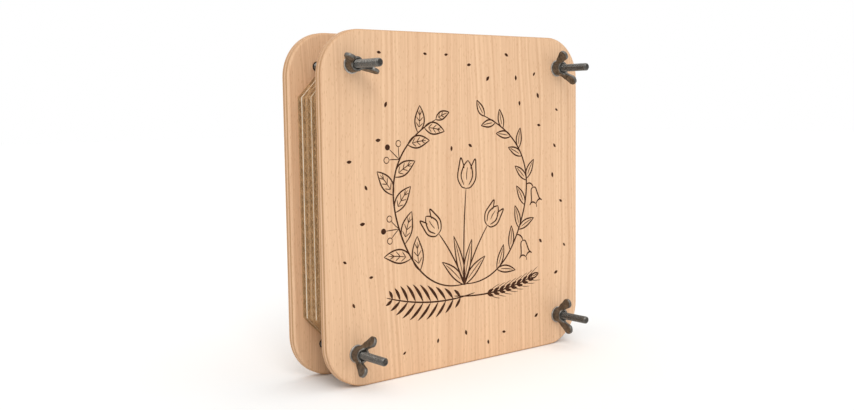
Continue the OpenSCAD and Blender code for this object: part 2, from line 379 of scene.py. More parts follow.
def plate(node, name, material, pocketed):
    """A plate from three kinds of surface: its rounded rim, the walls of its holes and its two flat covers.
    The rim carries the outline along a quarter circle, a straight stretch and another quarter circle."""
    low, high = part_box(node)
    quarter = np.linspace(0, math.pi / 2, ARRIS_STEPS + 1)
    inset = np.concatenate([1 - np.sin(quarter), 1 - np.cos(quarter)]) * ARRIS_R
    back_arris = high.y - (1 - np.cos(quarter)) * ARRIS_R
    front_arris = low.y + (1 - np.sin(quarter)) * ARRIS_R
    half = (high.x - low.x) / 2
    rim = np.stack([
        at_depth(rounded_square(half, drawn_in), y)
        for drawn_in, y in zip(inset, np.concatenate([back_arris, front_arris]))
    ])
    back_mouth = [(HOLE_R + HOLE_CHAMFER, high.y, False), (HOLE_R, high.y - HOLE_CHAMFER, False)]
    if pocketed:
        back_mouth = [
            (NECK_POCKET / 2, high.y, True),
            (NECK_POCKET / 2, high.y - NECK_DEPTH, True),
            (HOLE_R, high.y - NECK_DEPTH, False),
        ]
    front_mouth = [(HOLE_R, low.y + HOLE_CHAMFER, False), (HOLE_R + HOLE_CHAMFER, low.y, False)]
    walls = [
        np.stack([at_depth(hole_ring(centre, r, square), y) for r, y, square in back_mouth + front_mouth])
        for centre in BOLT_PLACES
    ]
    steps, around = rim.shape[:2]
    firsts = [steps * around + i * len(wall) * HOLE_STEPS for i, wall in enumerate(walls)]
    faces = [shell_faces(steps, around)]
    faces += [shell_faces(len(wall), HOLE_STEPS, first) for wall, first in zip(walls, firsts)]
    for end, rim_row, wall_row in ((0, 0, 0), (-1, steps - 1, len(walls[0]) - 1)):
        cover = flat_cover(rim[end][:, [0, 2]], [wall[end][:, [0, 2]] for wall in walls])
        counted = [np.arange(around) + rim_row * around]
        counted += [np.arange(HOLE_STEPS) + first + wall_row * HOLE_STEPS for first in firsts]
        faces.append(np.concatenate(counted)[cover])
    points = np.concatenate([rim.reshape(-1, 3), *[wall.reshape(-1, 3) for wall in walls]])
    points[:, 2] += MIDDLE_Z
    piece = mesh_piece(name, points, faces, material)
    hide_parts(node)
    return piece


CORNERS = ("upper_left", "upper_right", "lower_right", "lower_left")
back_low, back_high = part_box("back_plate")
front_low, front_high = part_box("front_plate")
MIDDLE_Z = (back_low.z + back_high.z) / 2
BOLT_PLACES = [
    np.array([low.x + high.x, low.z + high.z]) / 2 - (0, MIDDLE_Z)
    for low, high in (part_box(f"bolt_{corner}") for corner in CORNERS)
]
PLY_T = (back_high.y - back_low.y) / PLIES
back_wood = beech_plywood("sanded_beech_plywood_back", back_high.y, PLY_T)
front_wood = beech_plywood("sanded_beech_plywood_front", front_high.y, PLY_T)
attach(plate("back_plate", "back_plate_plywood", back_wood, pocketed=True), "back_half")
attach(plate("front_plate", "front_plate_plywood", front_wood, pocketed=False), "front_half")

# Drawing
# A wreath of two branches with tulips inside and loose seeds round it, printed in dark brown ink. Each line
# is a thin ribbon, widest in the middle and drawn out at its ends like the line of a pen. Its places and
# lengths are in millimetres from the plate's middle, and its headings in degrees.
INK_DARK = "#3C2213"
INK_SUNK = "#75492B"
INK_T = 0.03 * MM
INK_STEP = 0.0001 * MM
INK_BASE = 0.01 * MM
INK_TOP_SHARE = 0.9
PEN_W = 0.85
BRANCH_W = 1.0
FINE_W = 0.5
AWN_W = 0.35
LEAFLET_W = 1.7
LEAST_HALF_W = 0.03
PEN_END_SHARE = 0.33
# Powers of a sine: the lower one is, the fuller its shape stays towards the ends
PEN_POWER = 0.4
BRUSH_POWER = 0.8
FROND_POWER = 0.9
# A power of the share of the way along a leaf, which makes it widest a little below its middle
LEAF_POWER = 0.85
# Length and width of a leaf level with the wreath's middle, and what it loses with each degree above it
BROAD_LEAF = np.array([15.5, 6.4])
BROAD_LEAF_LOSS = np.array([0.04, 0.01])
NARROW_LEAF = np.array([12.0, 3.7])
NARROW_LEAF_LOSS = np.array([0.03, 0.0])
RIB_POINTS = 20
VEIN_STEP = 4
VEIN_REACH_SHARE = 0.75
BELL_STALK_SHARE = 0.75
LEAFLET_LENGTH_SHARE = 0.21
LEAFLET_LEAN = 62
LEAFLET_CURL = 26
LEAFLET_STEP = 4
GRAIN_LENGTH = 5.0
GRAIN_LEAN = 34
GRAIN_CURL = 30
GRAIN_STEP = 3
AWN_LENGTH = 10.0
AWN_CURL = 22
BERRY_R = 1.5
WREATH_R = 45.0
WREATH_BOW = 1.2
WREATH_Z = 2.0
FOOT = np.array([0.0, -43.5])
SEEDS = 34
SEED_TRIES = 900
SEED_REACH = 75.0
SEED_SPACING = 13.0
SEED_SHORTEST = 2.2
SEED_LONGEST = 3.2
SEED_WIDTH_SHARE = 0.55
SEED_CURL = 20
# How far the seeds keep from a nut, and from the wreath's circle on its inside and its outside
NUT_MARGIN = 16.0
INNER_MARGIN = 17.0
OUTER_MARGIN = 16.0
TULIP_TOP = 24.0
FERN_BOTTOM = -64.0
FERN_TOP = -34.0
FERN_REACH = 66.0
drawing_draw = np.random.default_rng(23)
lines = []


def dark_ink(name):
    """Brown ink on sanded wood. It sinks in unevenly, so the wood's pale streaks show through in places."""
    material, tree, place = new_material(name)
    stretched = add_node(tree, "Mapping", inputs={0: place, "Scale": cells(0.5, 0.5, 3)})
    sinking = add_node(tree, "TexNoise", inputs={"Vector": stretched, "Scale": 1.0, "Detail": 3.0})
    share = add_node(tree, "MapRange", inputs={
        "Value": sinking, "From Min": 0.5, "From Max": 0.75, "To Max": 0.5,
    })
    tone = add_node(tree, "Mix", COLOUR_MIX, {0: share, 6: linear(INK_DARK), 7: linear(INK_SUNK)})
    ink = add_node(tree, "BsdfPrincipled", inputs={
        "Base Color": tone, "Roughness": 0.8, "Specular IOR Level": 0.15,
    })
    add_node(tree, "OutputMaterial", inputs={"Surface": ink})
    return material


def pen(points, width=PEN_W):
    """Keeps a line: its points, and half its width at each, which falls to a third at both ends."""
    swell = np.sin(math.pi * np.linspace(0, 1, len(points))) ** PEN_POWER
    lines.append((np.asarray(points), width / 2 * (PEN_END_SHARE + (1 - PEN_END_SHARE) * swell)))


def brush(points, width):
    """Keeps a filled leaf shape along a line: half its width is a sine that starts and ends at nothing."""
    swell = np.sin(math.pi * np.linspace(0, 1, len(points))) ** BRUSH_POWER
    lines.append((np.asarray(points), width / 2 * swell))


def blob(centre, radius):
    """Keeps a filled round dot, as a short line whose half width is the height of the circle over it."""
    along = -radius * np.cos(np.linspace(0, math.pi, 17))
    lines.append((centre + np.stack([along, 0 * along], -1), np.sqrt(np.maximum(radius**2 - along**2, 0))))


def bend(start, heading, length, curl, count=14):
    """Points along an arc that starts at a heading and turns by curl over its length, both in degrees."""
    angle = np.radians(heading + curl * np.linspace(0, 1, count))
    step = length / (count - 1) * np.stack([np.cos(angle), np.sin(angle)], -1)
    return np.asarray(start) + np.concatenate([np.zeros((1, 2)), np.cumsum((step[:-1] + step[1:]) / 2, 0)])


def heading_at(line, point):
    """The heading, in degrees, of a line's step up to one of its points."""
    x, z = line[point] - line[point - 1]
    return math.degrees(math.atan2(z, x))


def left_of(line):
    """The unit direction to the left of a line at each of its points: its slope, turned by a quarter."""
    slope = np.gradient(line, axis=0)
    return np.stack([-slope[:, 1], slope[:, 0]], -1) / np.linalg.norm(slope, axis=1, keepdims=True)


def through(points, start, heading, size, side=1, count=7):
    """A smooth line through points given along and across a heading, as shares of a size, and mirrored by
    a side of -1. Between two points it is a cubic whose slope at each is half the step from the point
    before to the point after."""
    turn = math.radians(heading)
    frame_axes = np.array([[math.cos(turn), math.sin(turn)], [-math.sin(turn), math.cos(turn)]])
    knots = np.multiply(points, (1.0, side)) @ frame_axes * size + start
    knots = np.concatenate([[2 * knots[0] - knots[1]], knots, [2 * knots[-1] - knots[-2]]])
    t = np.linspace(0, 1, count, endpoint=False)[:, None, None]
    a, b, c, d = knots[:-3], knots[1:-2], knots[2:-1], knots[3:]
    curve = b + (c - a) / 2 * t + (a - 2.5 * b + 2 * c - d / 2) * t**2 + (1.5 * (b - c) + (d - a) / 2) * t**3
    return np.concatenate([curve.swapaxes(0, 1).reshape(-1, 2), knots[-2:-1]])


def leaf(start, heading, length, width, curl, veins=0):
    """A leaf in outline: its midrib is an arc, its two sides swell as a sine of the share of the way, and
    a vein sets out for each side from every fourth point of the rib, and ends short of the edge."""
    rib = bend(start, heading, length, curl, RIB_POINTS)
    half = width / 2 * np.sin(math.pi * np.linspace(0, 1, RIB_POINTS) ** LEAF_POWER)
    swell = left_of(rib) * half[:, None]
    pen(rib + swell)
    pen(rib - swell)
    pen(rib[VEIN_STEP : 1 - VEIN_STEP], FINE_W)
    for here in range(VEIN_STEP, VEIN_STEP * (veins + 1), VEIN_STEP):
        there = here + VEIN_STEP - 1
        for side in (-1, 1):
            pen(np.linspace(rib[here], rib[there] + side * swell[there] * VEIN_REACH_SHARE, 6), FINE_W)


def tulip(start, heading, length, curl, size):
    """A stem with a cup of three petals on it."""
    outer = [(0, 0), (0.06, 0.22), (0.35, 0.42), (0.75, 0.40), (1.06, 0.34), (0.84, 0.2), (0.7, 0.15)]
    inner = [(0.12, 0.12), (0.45, 0.27), (0.8, 0.17), (1.0, 0.0)]
    fold = [(0.3, 0.0), (0.5, 0.02), (0.75, 0.0)]
    stem = bend(start, heading, length, curl, 24)
    pen(stem)
    for side in (-1, 1):
        pen(through(outer, stem[-1], heading + curl, size, side))
        pen(through(inner, stem[-1], heading + curl, size, side))
    pen(through(fold, stem[-1], heading + curl, size), FINE_W)


def bell(start, heading, size, hanging=-76):
    """A bell flower that hangs from a bowed stalk: two flared sides, a hem of three points and a pistil."""
    flare = [(0, 0), (0.1, 0.2), (0.5, 0.29), (0.82, 0.37), (1.05, 0.58)]
    hem = [(1.05, 0.58), (0.93, 0.4), (0.95, 0.2), (1.12, 0.0)]
    pistil = [(1.12, 0.0), (1.25, 0.02), (1.36, 0.0)]
    stalk = bend(start, heading, size * BELL_STALK_SHARE, hanging - heading)
    pen(stalk)
    for side in (-1, 1):
        pen(through(flare, stalk[-1], hanging, size, side))
        pen(through(hem, stalk[-1], hanging, size, side))
    pen(through(pistil, stalk[-1], hanging, size), FINE_W)


def berries(start, heading, length):
    """Three stalks with a berry each, the middle one longer and with a filled berry."""
    turn = np.linspace(0, 2 * math.pi, 22)
    ring = BERRY_R * np.stack([np.cos(turn), np.sin(turn)], -1)
    for spread, share in ((-38, 0.8), (0, 1.0), (34, 0.8)):
        stalk = bend(start, heading + spread, length * share, spread / 3)
        pen(stalk, FINE_W)
        step = stalk[-1] - stalk[-2]
        centre = stalk[-1] + step / np.linalg.norm(step) * BERRY_R
        if spread:
            pen(centre + ring, FINE_W)
        else:
            blob(centre, BERRY_R)


def frond(start, heading, length, curl, pairs=10):
    """A fern: filled leaflets in pairs along an arc, as long as a sine of the share of the way up it."""
    stem = bend(start, heading, length, curl, LEAFLET_STEP * (pairs + 2))
    pen(stem)
    for i in range(pairs):
        here = LEAFLET_STEP * (i + 2)
        swell = math.sin(math.pi * (0.16 + 0.8 * i / pairs)) ** FROND_POWER
        for side in (-1, 1):
            outward = heading_at(stem, here + 1) + side * LEAFLET_LEAN
            reach = length * LEAFLET_LENGTH_SHARE * swell
            brush(bend(stem[here], outward, reach, -side * LEAFLET_CURL, 10), LEAFLET_W)


def ear(start, heading, length, curl, grains=8):
    """An ear of grass: a bare stalk, then pairs of grains with a fine awn on each, and one at the tip."""
    stem = bend(start, heading, length, curl, 40)
    pen(stem)
    leaf(stem[-1], heading + curl, length=6.0, width=2.4, curl=0)
    for here in range(-GRAIN_STEP, -GRAIN_STEP * (grains + 1), -GRAIN_STEP):
        for side in (-1, 1):
            outward = heading_at(stem, here) + side * GRAIN_LEAN
            brush(bend(stem[here], outward, GRAIN_LENGTH, -side * GRAIN_CURL, 9), LEAFLET_W)
            pen(bend(stem[here], outward, AWN_LENGTH, -side * AWN_CURL, 8), AWN_W)


def on_branch(side, degrees):
    """Points on a branch at angles above its own side's level. The branch is an arc of the wreath's circle
    that bows a little in and out, by a sine of four times the angle."""
    way = np.radians(degrees)
    reach = WREATH_R + WREATH_BOW * np.sin(way * 4)
    return np.stack([side * reach * np.cos(way), WREATH_Z + reach * np.sin(way)], -1)


pen(on_branch(-1, np.linspace(-91, 66, 70)), BRANCH_W)
pen(on_branch(1, np.linspace(-91, 74, 70)), BRANCH_W)
# The left branch has broad veined leaves, that shorten towards its tip, and berries
left_leaves = ((-36, -18, (-50, -28, -6, 16, 38, 55)), (34, 20, (-39, 5, 49)))
for lean, curl, places in left_leaves:
    for degrees in places:
        length, width = BROAD_LEAF - degrees * BROAD_LEAF_LOSS
        leaf(on_branch(-1, degrees), 90 - degrees + lean, length, width, curl, veins=3)
for degrees in (-17, 27):
    berries(on_branch(-1, degrees), 166 - degrees, length=8.0)
leaf(on_branch(-1, 66), heading=32, length=9.5, width=4.0, curl=-20, veins=2)
# The right branch has narrow leaves and bells
right_leaves = ((32, 14, (-60, -43, -26, -9, 8, 25, 42, 59)), (-30, -16, (-60, -27, 9, 31, 51, 70)))
for lean, curl, places in right_leaves:
    for degrees in places:
        length, width = NARROW_LEAF - degrees * NARROW_LEAF_LOSS
        leaf(on_branch(1, degrees), 90 + degrees + lean, length, width, curl)
for degrees in (-31, 5):
    bell(on_branch(1, degrees), degrees + 32, size=8.4)
# Tulips and their leaves stand in the middle, over a fern and an ear that lie crossed below
tulips = ((92, 50, -8, 14.5), (111, 33, 20, 12.5), (70, 34, -18, 12.5))
for heading, length, curl, size in tulips:
    tulip(FOOT, heading, length, curl, size)
foot_leaves = ((101, 27, 4.2, 8), (80, 24, 4.2, -6), (50, 20, 4.6, -14), (130, 20, 4.6, 16))
for heading, length, width, curl in foot_leaves:
    leaf(FOOT, heading, length, width, curl)
frond(FOOT + (7, -5), heading=189, length=58, curl=-27)
ear(FOOT + (-7, -5), heading=-9, length=56, curl=25)
# Loose seeds keep clear of the nuts, the wreath, the tulips and the fern
seeds = []
for x, z in drawing_draw.uniform(-SEED_REACH, SEED_REACH, (SEED_TRIES, 2)):
    from_middle = math.hypot(x, z - WREATH_Z)
    by_nut = min(math.hypot(x - bx / MM, z - bz / MM) for bx, bz in BOLT_PLACES) < NUT_MARGIN
    by_wreath = WREATH_R - INNER_MARGIN < from_middle < WREATH_R + OUTER_MARGIN
    by_tulip = from_middle <= WREATH_R - INNER_MARGIN and z < TULIP_TOP
    by_fern = FERN_BOTTOM < z < FERN_TOP and abs(x) < FERN_REACH
    crowded = any(math.hypot(x - px, z - pz) < SEED_SPACING for px, pz in seeds)
    if len(seeds) < SEEDS and not (by_nut or by_wreath or by_tulip or by_fern or crowded):
        seeds.append((x, z))
        heading, length = drawing_draw.uniform((0, SEED_SHORTEST), (360, SEED_LONGEST))
        brush(bend((x, z), heading, length, SEED_CURL, count=10), length * SEED_WIDTH_SHARE)


def ribbons(face_y):
    """All the lines as one mesh. A line has four rows of points: its two sides at the base in the wood and
    at the top. Each lies a hair higher than the last, so that two never share a plane where they cross."""
    points, skins, caps, first = [], [], [], 0
    base = face_y + INK_BASE
    for i, (line, half) in enumerate(lines):
        top = face_y - INK_T - i * INK_STEP
        out = left_of(line) * np.maximum(half, LEAST_HALF_W)[:, None]
        rows = np.stack([
            at_depth((line + out * share) * MM, y)
            for share, y in ((-1, base), (-INK_TOP_SHARE, top), (INK_TOP_SHARE, top), (1, base))
        ], 1)
        last = first + 4 * (len(line) - 1)
        points.append(rows.reshape(-1, 3) + (0, 0, MIDDLE_Z))
        skins.append(shell_faces(len(line), 4, first))
        caps += [np.arange(4) + first, np.arange(4) + last]
        first = last + 4
    return np.concatenate(points), [np.concatenate(skins), np.array(caps)]


drawing = mesh_piece("front_plate_drawing", *ribbons(front_low.y), dark_ink("dark_brown_printed_ink"))
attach(drawing, "front_half")

# Carriage bolts
# Four M4 bolts of zinc-plated steel, pressed with a domed head and a square neck and rolled with a thread.
# The neck sits in the back plate's pocket, so a bolt stands still while its nut turns.
AROUND = 32
HEAD_H = 2.5 * MM
HEAD_RIM_H = 0.5 * MM
FIRST_SLOPE = 0.04
DOME_RINGS = 12
RIM_ROUND = 0.18 * MM
RIM_BULGE_SHARE = 0.6
NECK_HALF = 2.1 * MM
NECK_END = 5.5 * MM
NECK_POWER = 9
SHANK_R = 2.0 * MM
THREAD_START = 8.0 * MM
THREAD_PITCH = 0.7 * MM
THREAD_DEPTH = 0.40 * MM
THREAD_RUN_IN = 1.4 * THREAD_PITCH
RINGS_PER_PITCH = 10
END_CHAMFER = 0.5 * MM
PATCH_SIZE = 2.2 * MM
# How far in from an edge or crest the rubbed wear and painted highlight reach
WEAR_AND_HIGHLIGHT_REACH = 0.5 * MM
# The bright tone of edges and crests, partly rubbed wear and partly a painted highlight
WORN_AND_HIGHLIGHT_BRIGHT = "#B9B5AE"
# The neck's rings: how far each lies from the top of the head, and half the neck's width there
NECK_RINGS = np.array([
    (HEAD_H, NECK_HALF * 1.2),
    (HEAD_H + 0.02 * MM, NECK_HALF),
    (NECK_END - 0.6 * MM, NECK_HALF),
    (NECK_END, NECK_HALF * 0.96),
    (NECK_END + 0.3 * MM, SHANK_R),
])


def zinc_skin(name, colour, dull_colour, roughness, grit):
    """Zinc, plated or cast: one tone breaks into a duller one in patches of a few millimetres. The edges and
    crests are painted brighter, partly as wear rubbed by handling and partly as a painted highlight where
    the plated edges shine. A grit, its size in metres, roughens the highlight. The real one is too fine to
    show, so it is drawn ten times as coarse, or more."""
    material, tree, place = new_material(name)
    patches = add_node(tree, "TexNoise", inputs={
        "Vector": place, "Scale": 1 / PATCH_SIZE, "Detail": 4.0, "Roughness": 0.6,
    })
    grain = add_node(tree, "TexNoise", inputs={"Vector": place, "Scale": 1 / grit, "Detail": 2.0})
    share = add_node(tree, "MapRange", inputs={"Value": patches, "From Min": 0.35, "From Max": 0.65})
    tone = add_node(tree, "Mix", COLOUR_MIX, {0: share, 6: linear(colour), 7: linear(dull_colour)})
    # At an edge or a crest little metal lies behind the surface. There the colour is painted brighter:
    # partly wear rubbed by handling, partly a painted highlight where the plated edge shines
    behind = add_node(tree, "AmbientOcclusion", {"inside": True, "only_local": True, "samples": 16}, {
        "Distance": WEAR_AND_HIGHLIGHT_REACH,
    })
    rubbed_and_highlit = add_node(tree, "MapRange", inputs={
        "Value": behind.outputs["AO"], "From Min": 0.95, "From Max": 0.45, "To Max": 0.3,
    })
    worn_and_highlit = add_node(tree, "Mix", COLOUR_MIX, {0: rubbed_and_highlit, 6: tone, 7: linear(WORN_AND_HIGHLIGHT_BRIGHT)})
    gloss = add_node(tree, "MapRange", inputs={
        "Value": patches, **NOISE_SPAN, "To Min": roughness - 0.06, "To Max": roughness + 0.08,
    })
    bump = add_node(tree, "Bump", inputs={"Height": grain, "Strength": 0.35, "Distance": grit / 5})
    metal = add_node(tree, "BsdfPrincipled", inputs={
        "Base Color": worn_and_highlit, "Roughness": gloss, "Normal": bump, "Metallic": 1.0,
    })
    add_node(tree, "OutputMaterial", inputs={"Surface": metal})
    return material


def closed_rings(rings):
    """Points and faces of a skin over rings of points, with one more point in the middle of each end."""
    rows, around = rings.shape[:2]
    points = np.concatenate([rings.reshape(-1, 3), rings[[0, -1]].mean(1)])
    here = np.arange(around)
    beside = (here + 1) % around
    last = (rows - 1) * around
    fans = np.concatenate([
        np.stack([beside, here, np.full(around, rows * around)], -1),
        np.stack([here + last, beside + last, np.full(around, rows * around + 1)], -1),
    ])
    return points, [shell_faces(rows, around), fans]


def bolt_rings(low, high):
    """Rings down a bolt, by their distance s from the top of the head. The dome is an arc, the neck a square
    with soft corners, and the thread a wave that turns with the angle: its phase is s over the pitch less
    the share of the turn, and a clipped cosine gives flat crests and roots."""
    head_r = (high.x - low.x) / 2
    length = high.y - low.y
    rise = HEAD_H - HEAD_RIM_H
    dome_r = (head_r**2 + rise**2) / (2 * rise)
    slope = np.linspace(FIRST_SLOPE, math.asin((head_r - RIM_ROUND) / dome_r), DOME_RINGS)
    turn = np.linspace(slope[-1], math.pi / 2, 5)[1:]
    under = np.linspace(0, math.pi / 2, 4)
    rim_s = dome_r * (1 - math.cos(slope[-1]))
    threads = np.arange(THREAD_START, length - END_CHAMFER, THREAD_PITCH / RINGS_PER_PITCH)
    ending = np.linspace(length - END_CHAMFER, length, 5)
    s = np.concatenate([
        dome_r * (1 - np.cos(slope)),
        rim_s + RIM_ROUND * (math.cos(slope[-1]) - np.cos(turn)),
        HEAD_H - RIM_ROUND * (1 - np.sin(under)),
        NECK_RINGS[:, 0],
        threads,
        ending,
    ])
    r = np.concatenate([
        dome_r * np.sin(slope),
        head_r - RIM_ROUND * (1 - np.sin(turn)) * RIM_BULGE_SHARE,
        head_r - RIM_ROUND * (1 - np.cos(under)),
        NECK_RINGS[:, 1],
        np.full(len(threads), SHANK_R),
        SHANK_R - np.linspace(0, END_CHAMFER, 5),
    ])
    angle = np.linspace(0, 2 * math.pi, AROUND, endpoint=False)
    powers = np.abs(np.cos(angle)) ** NECK_POWER + np.abs(np.sin(angle)) ** NECK_POWER
    soft_square = powers ** (-1 / NECK_POWER)
    squareness = ((s > HEAD_H) & (s < NECK_END)) + 0.5 * (s == NECK_END)
    radius = r[:, None] * (1 + squareness[:, None] * (soft_square - 1))
    phase = s[:, None] / THREAD_PITCH - angle / (2 * math.pi)
    cut = np.clip(0.5 - 0.8 * np.cos(2 * math.pi * phase), 0, 1)
    depth = np.clip((s - THREAD_START) / THREAD_RUN_IN, 0, 1)[:, None] * THREAD_DEPTH
    radius = np.where(depth > 0, np.minimum(radius, SHANK_R - depth * cut), radius)
    return np.stack([
        (low.x + high.x) / 2 + radius * np.cos(angle),
        np.broadcast_to(high.y - s[:, None], radius.shape),
        (low.z + high.z) / 2 + radius * np.sin(angle),
    ], -1)


bolt_zinc = zinc_skin("dark_zinc_plated_steel", "#56534F", "#3D3B38", roughness=0.28, grit=0.25 * MM)
for corner in CORNERS:
    points, faces = closed_rings(bolt_rings(*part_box(f"bolt_{corner}")))
    piece = mesh_piece(f"bolt_{corner}_steel", points, faces, bolt_zinc, smooth_below=40)
    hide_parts(f"bolt_{corner}")
    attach(piece, "back_half")

# Corrugated cards
# Six sheets of brown single-wall board, cut square with the corners off, so that they clear the bolts.
# Two kraft liners are glued to the crests of a wavy sheet, and its flutes let damp air out at both sides.
CARDS = 6
FLUTES = 25
STEPS_PER_FLUTE = 14
LINER_T = 0.34 * MM
MEDIUM_T = 0.30 * MM
SHORT_MEDIUM = 0.3 * MM
WASHBOARD = 0.05 * MM
FRAY = 0.10 * MM
LEAF_GAP = 0.3 * MM
KRAFT_PALE = "#D9B486"
KRAFT_DARK = "#C0966A"
KRAFT_CUT = "#A57C52"
KRAFT_CUT_SHARE = 0.25
# How much the painted shade over each flute's ridge darkens the liner
RIDGE_SHADE_SHARE = 0.08
# Width and height from the middle add up to this all along the cut of a leaf's corner
CORNER_LINE = BOLT_PLACES[1].sum() - math.sqrt(2) * (SHANK_R + LEAF_GAP)
COLOUR_PRODUCT = {"data_type": "RGBA", "blend_type": "MULTIPLY"}
leaf_draw = np.random.default_rng(7)


def paper_tone(tree, place, fibre, pale, dark, cloud_size, cloud_low):
    """The colour of a paper: its fibres mix two tones, and clouds of a size in metres shade it a little."""
    share = add_node(tree, "MapRange", inputs={"Value": fibre, **NOISE_SPAN})
    tone = add_node(tree, "Mix", COLOUR_MIX, {0: share, 6: linear(pale), 7: linear(dark)})
    cloud = add_node(tree, "TexNoise", inputs={"Vector": place, "Scale": 1 / cloud_size, "Detail": 2.0})
    shade = add_node(tree, "MapRange", inputs={"Value": cloud, **NOISE_SPAN, "To Min": cloud_low})
    return add_node(tree, "Mix", COLOUR_PRODUCT, {0: 1.0, 6: tone, 7: shade})


def kraft_board(name, flute):
    """Brown kraft: fibres in short dashes of two tones, a cloudy shade, and a darker tone where it is cut.
    Each flute is painted on the liner as a faint band of shade, where a ridge would be shaded: a wave
    texture repeats after pi / 10 over its scale."""
    material, tree, place = new_material(name)
    # A fibre is too fine to show, so the dashes are drawn ten times as thick, 0.35 mm, and 2.6 mm long
    stretched = add_node(tree, "Mapping", inputs={0: place, "Scale": cells(2.6, 0.35, 0.35)})
    fibre = add_node(tree, "TexNoise", inputs={"Vector": stretched, "Scale": 1.0, "Detail": 3.0})
    cloudy = paper_tone(tree, place, fibre, KRAFT_PALE, KRAFT_DARK, cloud_size=9 * MM, cloud_low=0.8)
    facing = add_node(tree, "SeparateXYZ", inputs={0: add_node(tree, "TexCoord").outputs["Normal"]})
    sideways = add_node(tree, "Math", {"operation": "ABSOLUTE"}, {0: facing.outputs["X"]})
    cut_share = add_node(tree, "Math", {"operation": "MULTIPLY"}, {0: sideways, 1: KRAFT_CUT_SHARE})
    cut = add_node(tree, "Mix", COLOUR_MIX, {0: cut_share, 6: cloudy, 7: linear(KRAFT_CUT)})
    # Painted shade: a faint darker band over each flute, standing in for the shading of the liner's ridge
    ridge_shade = add_node(tree, "TexWave", {"bands_direction": "Z"}, {
        "Vector": place, "Scale": math.pi / (10 * flute), "Distortion": 0.6, "Detail": 1.0,
    })
    ridge_shaded = add_node(tree, "Mix", COLOUR_PRODUCT, {0: RIDGE_SHADE_SHARE, 6: cut, 7: ridge_shade.outputs["Fac"]})
    bump = add_node(tree, "Bump", inputs={"Height": fibre, "Strength": 0.4, "Distance": 0.05 * MM})
    kraft = add_node(tree, "BsdfPrincipled", inputs={
        "Base Color": ridge_shaded, "Roughness": 0.88, "Normal": bump, "Specular IOR Level": 0.25,
    })
    add_node(tree, "OutputMaterial", inputs={"Surface": kraft})
    return material


def card_sheet(height, depth, normal, thickness, half, shorter=0):
    """A thin sheet that runs the whole width, to the sides or the cut corners' lines, and a little frayed.
    Its middle curve is offset half the thickness both ways along a normal, given by height and depth."""
    fray = leaf_draw.uniform(0, FRAY, (2, len(height)))
    rows = []
    for side, offset in ((-1, thickness / 2), (1, thickness / 2), (1, -thickness / 2), (-1, -thickness / 2)):
        z = height + normal[0] * offset
        reach = np.minimum(half, CORNER_LINE - np.abs(z)) - shorter - fray[max(side, 0)]
        rows.append(np.stack([side * reach, depth + normal[1] * offset, z], -1))
    ends = np.arange(4) + [[0], [4 * (len(height) - 1)]]
    return np.stack(rows, 1).reshape(-1, 3), shell_faces(len(height), 4), ends


def card(index, material):
    """Two liners and the wavy sheet between them, whose crests touch the liners. The phase differs from card
    to card, because each is cut from the board wherever it falls."""
    low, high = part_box(f"card_{index}")
    half = (high.x - low.x) / 2
    height = np.linspace(-half, half, FLUTES * STEPS_PER_FLUTE + 1)
    phase = 2 * math.pi * (height * FLUTES / (2 * half) + leaf_draw.uniform(0, 1))
    middle = (high.y + low.y) / 2
    swing = (high.y - low.y) / 2 - LINER_T - MEDIUM_T / 2
    slope = -swing * np.sin(phase) * 2 * math.pi * FLUTES / (2 * half)
    across = np.stack([-slope, np.ones_like(slope)]) / np.sqrt(1 + slope**2)
    flat = (0, 1)
    sag = WASHBOARD * (1 - np.cos(phase)) / 2
    sheets = [
        card_sheet(height, high.y - LINER_T / 2 - sag, flat, LINER_T, half),
        card_sheet(height, middle + swing * np.cos(phase), across, MEDIUM_T, half, SHORT_MEDIUM),
        card_sheet(height, low.y + LINER_T / 2 + (WASHBOARD - sag), flat, LINER_T, half),
    ]
    points = np.concatenate([sheet[0] for sheet in sheets])
    points[:, 2] = np.clip(points[:, 2], -half, half) + MIDDLE_Z
    firsts = np.cumsum([0] + [len(sheet[0]) for sheet in sheets])
    faces = [sheet[k] + first for k in (1, 2) for sheet, first in zip(sheets, firsts)]
    piece = mesh_piece(f"card_{index}_board", points, faces, material, smooth_below=60)
    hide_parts(f"card_{index}")
    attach(piece, f"card_{index}")


card_low, card_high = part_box("card_1")
kraft_brown = kraft_board("brown_kraft_board", (card_high.z - card_low.z) / FLUTES)
for i in range(CARDS):
    card(i + 1, kraft_brown)

# Blotting papers
# Ten soft off-white sheets, two between each pair of cards, where the flowers lie and dry.
# They are guillotined like the cards but a little smaller, and no two in a stack lie quite alike.
PAPERS = 10
EDGE_POINTS = 10
PAPER_SHIFT = 0.38 * MM
PAPER_INSET = 0.42 * MM
PAPER_FRAY = 0.02 * MM
# Single fibres are too fine to show, so the felt is drawn in tufts of this size
FELT_SIZE = 0.9 * MM
# How far each of a sheet's five outlines is drawn in, as a share of its thickness
PAPER_ROUND_SHARES = (0.34, 0.09, 0.0, 0.09, 0.34)
PAPER_WHITE = "#F5EFE1"
PAPER_WARM = "#E6DCC7"
paper_draw = np.random.default_rng(11)


def blotting_paper(name):
    """Unsized cotton paper: warm white with long soft fibres in a felt, and a tooth that scatters light."""
    material, tree, place = new_material(name)
    felt = add_node(tree, "TexNoise", inputs={
        "Vector": place, "Scale": 1 / FELT_SIZE, "Detail": 5.0, "Roughness": 0.7, "Distortion": 1.2,
    })
    cloudy = paper_tone(tree, place, felt, PAPER_WHITE, PAPER_WARM, cloud_size=14 * MM, cloud_low=0.93)
    bump = add_node(tree, "Bump", inputs={"Height": felt, "Strength": 0.5, "Distance": 0.06 * MM})
    paper = add_node(tree, "BsdfPrincipled", inputs={
        "Base Color": cloudy, "Roughness": 0.95, "Normal": bump, "Specular IOR Level": 0.15,
    })
    add_node(tree, "OutputMaterial", inputs={"Surface": paper})
    return material


